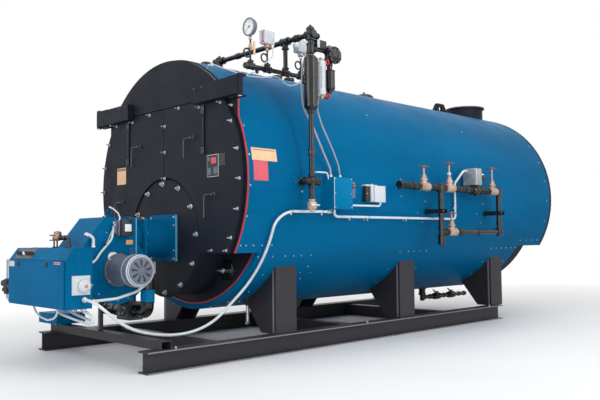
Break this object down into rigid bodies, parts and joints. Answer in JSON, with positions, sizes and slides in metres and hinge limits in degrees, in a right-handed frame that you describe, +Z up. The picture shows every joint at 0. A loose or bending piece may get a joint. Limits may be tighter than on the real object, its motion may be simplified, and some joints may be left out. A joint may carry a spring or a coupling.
{
  "type": "packaged fire-tube boiler",
  "caption": "Horizontal packaged fire-tube boiler on a steel skid, with burner, control cabinet, swing-out smokebox doors, water column and feed valve train.",
  "frame": {"origin": "on the floor, under the middle of the skid's middle cross member", "axes": "+Z up, +Y along the boiler from the burner end to the rear, +X to the side with the feed valve train"},
  "size_m": [2.752, 7.02, 3.144],
  "materials": {
    "blue_paint": "satin",
    "black_paint": "satin",
    "red_paint": "gloss",
    "grey_paint": "satin",
    "light_grey": "satin",
    "dark_steel": "matte",
    "brass": "satin",
    "conduit_grey": "satin"
  },
  "bodies": {
    "boiler": {"skid_beam_left": "black_paint", "skid_beam_right": "black_paint", "cross_members": "black_paint", "front_cross_tube": "black_paint", "saddle_front": "black_paint", "saddle_middle": "black_paint", "saddle_rear": "black_paint", "boiler_jacket": "blue_paint", "front_tube_sheet": "dark_steel", "rear_tube_sheet": "dark_steel", "furnace_tube": "black_paint", "furnace_front_plate": "black_paint", "rear_cover": "black_paint", "front_flange_plate": "black_paint", "arch_plate": "black_paint", "hinge_bracket_left": "black_paint", "hinge_bracket_right": "black_paint", "stack_outlet": "black_paint", "manway": "dark_steel", "relief_nozzles": "grey_paint", "lifting_lug": "black_paint", "burner_tube": "blue_paint", "blower_housing": "blue_paint", "blower_motor": "grey_paint", "damper_actuator": "black_paint", "burner_post": "black_paint", "gas_pipe": "dark_steel", "gas_valve": "grey_paint", "control_cabinet": "blue_paint", "alarm_bell": "light_grey", "base_box": "blue_paint", "equalizing_pipe": "dark_steel", "control_manifold": "dark_steel", "water_column": "black_paint", "column_drain": "dark_steel", "drain_valve": "brass", "gauge_glass": "light_grey", "auxiliary_cutoff": "black_paint", "pressure_gauge": "light_grey", "pressure_controls": "grey_paint", "junction_box": "blue_paint", "small_control": "light_grey", "feed_pipe": "dark_steel", "feed_valves": "brass", "feed_control_valve": "grey_paint", "pipe_brackets": "black_paint", "jacket_conduit": "light_grey", "conduit_loop": "conduit_grey"},
    "door_left": {"smokebox_door_left": "black_paint", "davit_arm_left": "black_paint"},
    "door_right": {"smokebox_door_right": "black_paint", "davit_arm_right": "black_paint"},
    "cover": {"cabinet_cover": "blue_paint"},
    "wheel_front": {"handwheel_front": "red_paint"},
    "wheel_middle": {"handwheel_middle": "red_paint"},
    "wheel_rear": {"handwheel_rear": "red_paint"},
    "wheel_bypass": {"handwheel_bypass": "red_paint"}
  },
  "joints": [
    {"name": "door_left_swing", "type": "hinge", "parent": "boiler", "child": "door_left", "pos_m": [-1.246, -1.9555, 1.68], "axis": [0, 0, -1], "range_deg": [0, 110]},
    {"name": "door_right_swing", "type": "hinge", "parent": "boiler", "child": "door_right", "pos_m": [1.246, -1.9555, 1.68], "axis": [0, 0, 1], "range_deg": [0, 110]},
    {"name": "cabinet_cover_swing", "type": "hinge", "parent": "boiler", "child": "cover", "pos_m": [-0.0315, -3.2215, 0.535], "axis": [1, 0, 0], "range_deg": [0, 95]},
    {"name": "handwheel_front_turn", "type": "hinge", "parent": "boiler", "child": "wheel_front", "pos_m": [1.42, 0.4735, 1.857], "axis": [0, 0, 1], "range_deg": [0, 1080]},
    {"name": "handwheel_middle_turn", "type": "hinge", "parent": "boiler", "child": "wheel_middle", "pos_m": [1.42, 0.9545, 1.922], "axis": [0, 0, 1], "range_deg": [0, 1080]},
    {"name": "handwheel_rear_turn", "type": "hinge", "parent": "boiler", "child": "wheel_rear", "pos_m": [1.42, 1.8655, 1.922], "axis": [0, 0, 1], "range_deg": [0, 1080]},
    {"name": "handwheel_bypass_turn", "type": "hinge", "parent": "boiler", "child": "wheel_bypass", "pos_m": [1.42, 0.9835, 1.363], "axis": [0, 0, 1], "range_deg": [0, 1080]}
  ]
}
